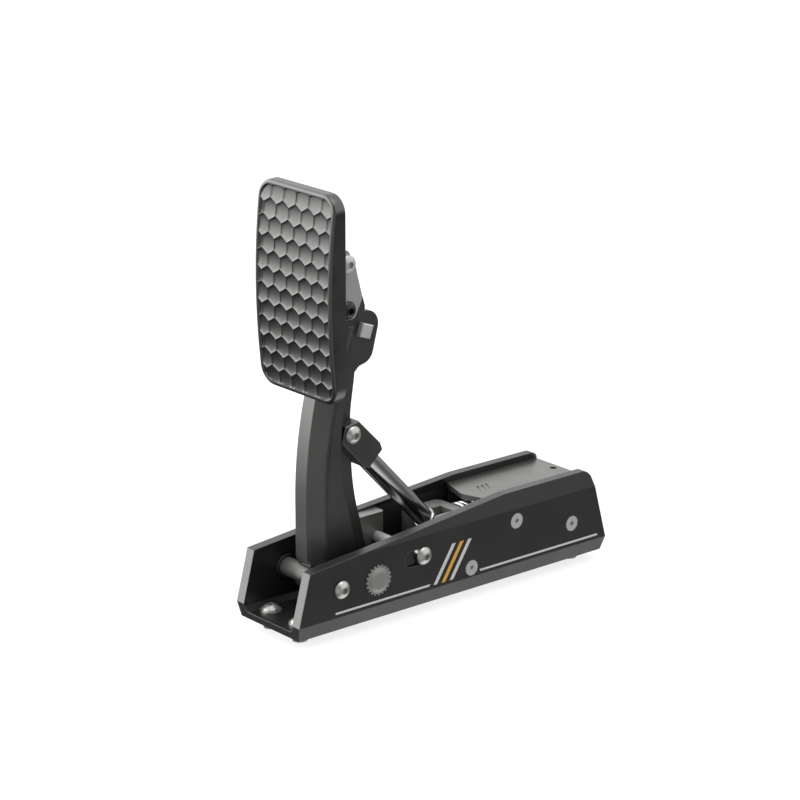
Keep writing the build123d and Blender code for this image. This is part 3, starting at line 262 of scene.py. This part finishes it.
# Each look: colours as sRGB, grain and cloud sizes and the rounded edge in mm, gloss as the roughness range. Real
# peel, blast and plating grain is 0.05 to 0.3 mm, too fine to show here, so each grain is drawn coarser.
looks = {
    # powder-coated aluminium: an even satin black with a faint orange peel, edges paled by wear and a painted edge
    # highlight, raked ends a painted highlight
    "powderCoatedBlack": dict(colour="#20201f", wornAndLitEdge="#8c8c8a", wornAndLitShare=0.6, metal=0.0, ior=1.5, paintedEndHighlight="#787876",
                              gloss=(0.30, 0.40), grain=0.9, bite=0.12, cloud=22.0, edge=0.6),
    # black anodised aluminium, drawn along the arm: metal under a thin dark film, it takes the light in soft bands
    "anodisedBlack": dict(colour="#5e5e5d", wornAndLitEdge="#7e7e7c", wornAndLitShare=0.5, metal=0.95, brush=(1.0, 1.0, 0.12),
                          gloss=(0.31, 0.39), grain=0.5, bite=0.10, cloud=18.0, edge=0.5),
    # bead-blasted black anodised aluminium: the same film on a matt ground, so each scoop shades softly
    "blastedBlack": dict(colour="#5d5d5c", wornAndLitEdge="#6c6c6a", wornAndLitShare=0.3, metal=1.0,
                         gloss=(0.27, 0.35), grain=0.4, bite=0.14, cloud=14.0, edge=0.3),
    # bead-blasted clear anodised aluminium: pale and nearly matt
    "anodisedClear": dict(colour="#a8a8a6", wornAndLitEdge="#cacac8", wornAndLitShare=0.5, metal=0.3,
                          gloss=(0.4, 0.52), grain=0.5, bite=0.12, cloud=12.0, edge=0.3),
    # cast and blasted fork: a darker grey of the same metal
    "blastedGrey": dict(colour="#858583", wornAndLitEdge="#9a9a98", wornAndLitShare=0.5, metal=0.7,
                        gloss=(0.36, 0.46), grain=0.5, bite=0.12, cloud=10.0, edge=0.3),
    # satin grey anodised plate, brushed along its length
    "anodisedGrey": dict(colour="#727270", wornAndLitEdge="#a2a2a0", wornAndLitShare=0.4, metal=0.75, brush=(0.08, 1.0, 1.0),
                         gloss=(0.3, 0.4), grain=0.5, bite=0.08, cloud=16.0, edge=0.3),
    # stainless socket screws, tumbled matt: a pale grey from every side
    "tumbledStainless": dict(colour="#bdbdbb", wornAndLitEdge="#d2d2d0", wornAndLitShare=0.5, metal=0.25,
                             gloss=(0.36, 0.46), grain=0.4, bite=0.1, cloud=5.0, edge=0.2),
    # satin nickel-plated button screws: soft highlights from the room
    "nickelPlated": dict(colour="#b6b6b3", wornAndLitEdge="#dadad8", wornAndLitShare=0.5, metal=0.8,
                         gloss=(0.28, 0.38), grain=0.5, bite=0.05, cloud=5.0, edge=0.25),
    # die-cast zinc dial, tumbled
    "castZinc": dict(colour="#8c8c8a", wornAndLitEdge="#adadab", wornAndLitShare=0.5, metal=0.3,
                     gloss=(0.36, 0.46), grain=0.5, bite=0.12, cloud=6.0, edge=0.25),
    # ground and lapped steel of the square peg and spacer: flat pale faces
    "groundSteel": dict(colour="#cbcbc9", wornAndLitEdge="#e0e0de", wornAndLitShare=0.5, metal=0.3,
                        gloss=(0.3, 0.4), grain=0.5, bite=0.06, cloud=7.0, edge=0.25),
    # black oxide on steel: a thin dark skin, oiled
    "blackOxide": dict(colour="#2a2a2a", wornAndLitEdge="#5c5c5a", wornAndLitShare=0.4, metal=0.5,
                       gloss=(0.26, 0.36), grain=0.4, bite=0.06, cloud=5.0, edge=0.2),
    # hard chrome on a ground rod: dark and bright streaks along it
    "hardChrome": dict(colour="#b8b8b7", wornAndLitEdge="#cacac8", wornAndLitShare=0.3, metal=1.0,
                       gloss=(0.16, 0.19), grain=0.8, bite=0.03, cloud=14.0, edge=0.25),
    # zinc-plated steel nuts and washers: duller and a little blue
    "zincPlated": dict(colour="#b0b2b4", wornAndLitEdge="#cfd0d1", wornAndLitShare=0.4, metal=0.7,
                       gloss=(0.3, 0.4), grain=0.5, bite=0.08, cloud=4.0, edge=0.2),
    # oiled spring wire, drawn: bright along its crown
    "springWire": dict(colour="#c2c2c0", wornAndLitEdge="#cccccb", wornAndLitShare=0.2, metal=0.9,
                       gloss=(0.22, 0.32), grain=0.3, bite=0.06, cloud=6.0, edge=0.1),
    # nitrile rubber: matt, nearly black
    "nitrileRubber": dict(colour="#171717", wornAndLitEdge="#262626", wornAndLitShare=0.3, metal=0.0, ior=1.52,
                          gloss=(0.6, 0.72), grain=0.5, bite=0.25, cloud=8.0, edge=0.4),
    # ABS, moulded: smooth black
    "mouldedAbs": dict(colour="#1a1a1a", wornAndLitEdge="#303030", wornAndLitShare=0.2, metal=0.0, ior=1.54,
                       gloss=(0.3, 0.4), grain=0.4, bite=0.1, cloud=8.0, edge=0.25),
    # screen-printed silver ink: flat pale grey with a slight metal flake
    "silverInk": dict(colour="#d6d6d3", wornAndLitEdge="#b4b4b2", wornAndLitShare=0.2, metal=0.1, ior=1.5,
                      gloss=(0.4, 0.5), grain=0.25, bite=0.08, cloud=9.0, edge=0.05),
    # screen-printed amber ink
    "amberInk": dict(colour="#e0aa45", wornAndLitEdge="#b98a33", wornAndLitShare=0.2, metal=0.0, ior=1.5,
                     gloss=(0.4, 0.5), grain=0.25, bite=0.08, cloud=9.0, edge=0.05),
}
finishes = {name: coatedFinish(name, look) for name, look in looks.items()}

finishOfSlot = {
    "black_paint": "powderCoatedBlack",
    "black_anodised": "anodisedBlack",
    "pad_black": "blastedBlack",
    "grey_metal": "anodisedClear",
    "plate_grey": "anodisedGrey",
    "sunk_steel": "tumbledStainless",
    "polished_steel": "hardChrome",
    "spring_steel": "springWire",
    "rubber_black": "nitrileRubber",
    "socket_black": "mouldedAbs",
    "zinc_steel": "zincPlated",
}
finishOfNode = {
    "bracket_bolt_low": "blackOxide",
    "bracket_bolt_high": "tumbledStainless",
    "square_peg": "groundSteel",
    "toothed_dial": "castZinc",
    "spring_seat": "blackOxide",
    "fork": "blastedGrey",
    "stop_carrier": "blastedGrey",
    "stop_bar": "groundSteel",
    "slot_plug": "mouldedAbs",
    "pivot_tube": "blastedGrey",
    "guide_block": "anodisedBlack",
}
for bolt in ("pivot_bolt_near", "pivot_bolt_far", "stop_bolt_near", "clevis_bolt", "side_pin"):
    finishOfNode[bolt] = "nickelPlated"
for corner in ("front_near", "front_far", "rear_near", "rear_far"):
    finishOfNode["floor_bolt_" + corner] = "nickelPlated"
for row in frame["record"]["subparts"]:
    solid = nodes[row["node"]]
    name = finishOfNode.get(row["node"], finishOfSlot[row["material_slot"]])
    if solid.material_slots:
        solid.material_slots[0].material = finishes[name]
    else:
        solid.data.materials.append(finishes[name])
print("finishes given to", len(nodes), "solids")


def makePiece(name, points, faces, finish, body, smooth=35):
    mesh = bpy.data.meshes.new(name)
    mesh.from_pydata(points.tolist(), [], faces)
    mesh.validate()
    mesh.shade_smooth()
    mesh.set_sharp_from_angle(angle=math.radians(smooth))
    mesh.materials.append(finishes[finish])
    piece = bpy.data.objects.new(name, mesh)
    bpy.context.scene.collection.objects.link(piece)
    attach(piece, body)
    return piece


def gridFaces(rows, columns, closed=False):
    # four corners of each cell of a grid counted row by row; closed joins the last column to the first
    r = np.arange(rows - 1)[:, None]
    c = np.arange(columns if closed else columns - 1)[None, :]
    n = (c + 1) % columns
    quads = np.stack([r * columns + c, r * columns + n, (r + 1) * columns + n, (r + 1) * columns + c], -1)
    return quads.reshape(-1, 4)


padShape = {
    "crown": 3.8,
    "corner": 10.0,
    "rim": 2.3,
    "frontRound": 2.0,
    "backRound": 1.0,
    "scoopsAcross": 5.67,
    "scoopDeep": 0.78,
    "scoopWall": 0.36,
    "wallRun": 0.45,
    "rimSlope": 0.45,
    "rows": 330,  # of the grid's straight part
    "columns": 215,
    "cornerSteps": 22,
}


def makePad(shape):
    # front: x = crown fall + scoop depth, over a grid whose rows shrink with the rounded corners;
    # the sides are that grid's border carried round a quarter circle, back and round again
    low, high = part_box("pad")
    width, height = (high[1] - low[1]) / mm, (high[2] - low[2]) / mm
    front, back = low[0] / mm, high[0] / mm
    middle = (low[2] + high[2]) / 2 / mm
    crownRadius = ((height / 2) ** 2 + shape["crown"] ** 2) / (2 * shape["crown"])
    pitch = (width - 2 * shape["rim"]) / shape["scoopsAcross"]
    deep = shape["scoopDeep"]
    cellReach = pitch / math.sqrt(3)
    sphere = (cellReach ** 2 + deep ** 2) / (2 * deep)  # the ball whose scoop just reaches the corners of its cell

    def crownFall(h):
        return crownRadius - np.sqrt(crownRadius ** 2 - h ** 2)

    def scoopDepth(y, h):
        # the ball of the nearest of the staggered rows' centres, and a steep wall that starts at the six-sided cell's
        # edge; a point's way to that edge is half the difference of its two least squared distances over the pitch
        rowPitch = pitch * math.sqrt(3) / 2
        least = np.full_like(y, np.inf)
        second = np.full_like(y, np.inf)
        nearRow = np.floor(h / rowPitch)
        for step in (-1, 0, 1):
            row = nearRow + step
            centreH = (row + 0.5) * rowPitch
            shift = np.mod(row, 2) / 2
            nearColumn = np.round(y / pitch - shift)
            for side in (-1, 0, 1):
                centreY = (nearColumn + side + shift) * pitch
                away = (y - centreY) ** 2 + (h - centreH) ** 2
                second = np.minimum(second, np.maximum(least, away))
                least = np.minimum(least, away)
        ball = np.sqrt(sphere ** 2 - least) - (sphere - deep)
        toEdge = (second - least) / (2 * pitch)
        return ball + shape["scoopWall"] * (1 - np.exp(-toEdge / shape["wallRun"]))

    def outside(y, h, inset):
        # signed distance to the rounded outline less an inset
        corner = shape["corner"] - inset
        across = np.abs(y) - (width / 2 - shape["corner"])
        up = np.abs(h) - (height / 2 - shape["corner"])
        return np.hypot(np.maximum(across, 0), np.maximum(up, 0)) + np.minimum(np.maximum(across, up), 0) - corner

    inset = shape["frontRound"]
    halfW, halfH, corner = width / 2 - inset, height / 2 - inset, shape["corner"] - inset
    arc = np.linspace(0, math.pi / 2, shape["cornerSteps"])[1:]
    coreHalf = halfH - corner
    straight = np.linspace(-coreHalf, coreHalf, shape["rows"])
    rows = np.concatenate([-coreHalf - corner * np.sin(arc[::-1]), straight, coreHalf + corner * np.sin(arc)])
    beyond = np.maximum(np.abs(rows) - coreHalf, 0)
    rowHalf = halfW - corner + np.sqrt(np.maximum(corner ** 2 - beyond ** 2, 0))
    share = np.linspace(-1, 1, shape["columns"])
    y = rowHalf[:, None] * share[None, :]
    h = np.repeat(rows[:, None], share.size, 1)
    rimLine = outside(y, h, shape["rim"])
    fade = np.clip(-rimLine / shape["rimSlope"], 0, 1)
    fade = fade * fade * (3 - 2 * fade)
    x = front + crownFall(h) + scoopDepth(y, h) * fade
    points = [np.stack([x, y, middle + h], -1).reshape(-1, 3)]
    count, columns = rows.size, share.size
    faces = [gridFaces(count, columns)[:, ::-1]]

    index = np.arange(count * columns).reshape(count, columns)
    border = np.concatenate([index[0, :-1], index[:-1, -1], index[-1, :0:-1], index[:0:-1, 0]])
    by, bh = y.reshape(-1)[border], h.reshape(-1)[border]
    coreY, coreH = np.clip(by, -(halfW - corner), halfW - corner), np.clip(bh, -coreHalf, coreHalf)
    outY, outH = by - coreY, bh - coreH
    size = np.hypot(outY, outH)
    outY, outH = outY / size, outH / size
    frontX = front + crownFall(bh)
    rings = []
    for a in np.linspace(0, math.pi / 2, 9)[1:]:
        outward, backward = inset * math.sin(a), inset * (1 - math.cos(a))
        rings.append(np.stack([frontX + backward, by + outY * outward, middle + bh + outH * outward], -1))
    turn = shape["backRound"]
    for a in np.linspace(0, math.pi / 2, 6):
        reach = inset - turn * (1 - math.cos(a))
        ringX = np.full_like(by, back - turn + turn * math.sin(a))
        rings.append(np.stack([ringX, by + outY * reach, middle + bh + outH * reach], -1))
    start = count * columns
    n = border.size
    loops = [border] + [start + n * k + np.arange(n) for k in range(len(rings))]
    for a, b in zip(loops[:-1], loops[1:]):
        faces.append(np.stack([a, np.roll(a, -1), np.roll(b, -1), b], -1)[:, ::-1])
    points.append(np.concatenate(rings))
    allFaces = np.concatenate(faces).tolist() + [loops[-1].tolist()]
    return makePiece("padFace", np.concatenate(points) * mm, allFaces, "blastedBlack", "arm", smooth=40)


pad = makePad(padShape)
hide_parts("pad")
print("pad made:", len(pad.data.polygons), "faces")

springShape = {
    "wire": 2.4,
    "endTurns": 1.0,
    "activeTurns": 6.5,
    "endGap": 0.5,
    "ease": 0.3,  # turns over which the rise changes
    "travel": 17.65,
    "stepsPerTurn": 72,
    "ringSteps": 18,
}


def makeSpring(shape):
    # the wire's centre: x rises with the turns, slowly in the end turns; a circle of the wire's radius stands across it
    low, high = (np.array(corner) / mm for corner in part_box("coil_spring"))
    wire = shape["wire"]
    coil = (high[2] - low[2]) / 2 - wire / 2
    centre = (high[2] + low[2]) / 2
    turns = shape["activeTurns"] + 2 * shape["endTurns"]
    t = np.linspace(0, turns, int(turns * shape["stepsPerTurn"]))
    endRise = wire + shape["endGap"]
    span = high[0] - low[0] - wire
    active = (span - 2 * shape["endTurns"] * endRise) / shape["activeTurns"]
    inside = np.clip((np.minimum(t, turns - t) - shape["endTurns"]) / shape["ease"] + 0.5, 0, 1)
    rise = endRise + (active - endRise) * inside
    x = np.concatenate([[0], np.cumsum((rise[1:] + rise[:-1]) / 2 * np.diff(t))])
    x = low[0] + wire / 2 + x * span / x[-1]
    angle = 2 * math.pi * t
    path = np.stack([x, coil * np.cos(angle), centre + coil * np.sin(angle)], -1)
    along = np.gradient(path, axis=0)
    along /= np.linalg.norm(along, axis=1)[:, None]
    outward = np.stack([np.zeros_like(t), np.cos(angle), np.sin(angle)], -1)
    across = np.cross(along, outward)
    ring = np.linspace(0, 2 * math.pi, shape["ringSteps"], endpoint=False)
    tube = path[:, None, :] + wire / 2 * (
        outward[:, None, :] * np.cos(ring)[None, :, None] + across[:, None, :] * np.sin(ring)[None, :, None])
    points = tube.reshape(-1, 3)
    count, columns = t.size, ring.size
    faces = gridFaces(count, columns, closed=True)[:, ::-1].tolist()
    faces.append(list(range(columns)))
    faces.append(list(range((count - 1) * columns, count * columns))[::-1])
    return makePiece("spring", points * mm, faces, "springWire", "base", smooth=50)


spring = makeSpring(springShape)
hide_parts("coil_spring")
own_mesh(spring)

# each outline is measured from the base's front end and from the underside of its floor
stripes = {
    "thick": 0.08,  # of the ink
    "sunk": 0.02,
    "floorHeight": 5.0,
    "silver": [
        [(24.0, 10.0), (88.0, 10.0), (89.0, 11.2), (24.0, 11.2)],
        [(91.0, 10.0), (93.6, 10.0), (106.8, 30.5), (104.2, 30.5)],
        [(102.4, 10.0), (105.0, 10.0), (118.2, 30.5), (115.6, 30.5)],
        [(124.6, 10.0), (212.0, 10.0), (211.4, 11.2), (123.8, 11.2)],
    ],
    "amber": [
        [(96.7, 10.0), (99.3, 10.0), (112.5, 30.5), (109.9, 30.5)],
    ],
}


def makeStripe(name, outline, finish, side, setup):
    # a flat outline on the wall's outer face, one coat of ink thick, mirrored for the far wall
    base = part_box("base_channel")
    frontEnd, wall = base[0][0] / mm, base[1][1] / mm
    flat = np.array(outline)
    count = len(flat)
    x, z = frontEnd + flat[:, 0], setup["floorHeight"] + flat[:, 1]
    inner = np.stack([x, np.full(count, side * (wall - setup["sunk"])), z], -1)
    outer = np.stack([x, np.full(count, side * (wall + setup["thick"])), z], -1)
    points = np.concatenate([inner, outer])
    ring = np.arange(count)
    after = np.roll(ring, -1)
    walls = np.stack([ring, after, after + count, ring + count], -1)
    front = (ring + count).tolist()
    rear = ring[::-1].tolist()
    faces = walls.tolist() + [front, rear]
    if side > 0:
        faces = [face[::-1] for face in faces]
    return makePiece(name, points * mm, faces, finish, "base")


for colour, finish in (("silver", "silverInk"), ("amber", "amberInk")):
    for number, outline in enumerate(stripes[colour]):
        for sideName, side in (("Near", -1), ("Far", 1)):
            name = f"stripe{colour.title()}{number + 1}{sideName}"
            makeStripe(name, outline, finish, side, stripes)
print("stripes printed")

floorLook = {"half": 6.0, "colour": "#8a8a89", "rough": 0.9, "glow": 0.80}  # half its width in m


def makeFloor(look):
    half = look["half"]
    mesh = bpy.data.meshes.new("floor")
    corners = [(-half, -half, 0), (half, -half, 0), (half, half, 0), (-half, half, 0)]
    mesh.from_pydata(corners, [], [(0, 1, 2, 3)])
    material, tree = newMaterial("paperBackdrop")
    shader = addNode(tree, "ShaderNodeBsdfPrincipled", {
        "Base Color": linear(look["colour"]), "Roughness": look["rough"],
        "Emission Color": (1, 1, 1, 1), "Emission Strength": look["glow"]})
    addNode(tree, "ShaderNodeOutputMaterial", {"Surface": shader.outputs[0]})
    mesh.materials.append(material)
    floor = bpy.data.objects.new("floor", mesh)
    bpy.context.scene.collection.objects.link(floor)
    floor.visible_diffuse = floor.visible_glossy = False  # a backlit sweep: it shows white and takes a soft shadow


makeFloor(floorLook)
